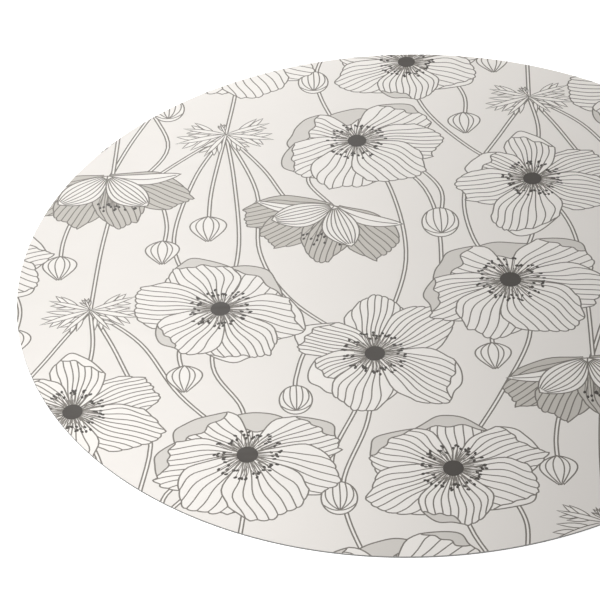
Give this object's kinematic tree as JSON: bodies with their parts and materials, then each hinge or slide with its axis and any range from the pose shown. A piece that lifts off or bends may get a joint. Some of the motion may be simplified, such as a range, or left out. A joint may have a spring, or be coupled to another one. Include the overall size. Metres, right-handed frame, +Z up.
{
  "type": "chair mat",
  "caption": "Round, thin, flat floor mat of bonded sheets that an office chair rolls on, with a pale printed top and an anti-slip underside.",
  "frame": {"origin": "centre of the underside, on the floor that the mat lies on", "axes": "+Z up, square to the sheet; the mat is round, so +X and +Y are the printed pattern's width and length"},
  "size_m": [0.9999, 1, 0.0022],
  "materials": {
    "backing": "dark grey vinyl, matt, with a fine pebbled grip texture",
    "foam": "dark grey foamed vinyl, matt",
    "veil": "glass-fibre tissue soaked with vinyl, pale threads in dark resin",
    "base_vinyl": "grey compact vinyl, matt",
    "printed_film": null,
    "wear_surface": "clear satin vinyl, very finely grained, in the colour of the film under it"
  },
  "bodies": {
    "root": {"anti_slip_backing": "backing", "foam_core": "foam", "glass_veil": "veil", "base_sheet": "base_vinyl", "decor_film": "printed_film", "wear_layer": "wear_surface"}
  },
  "joints": []
}
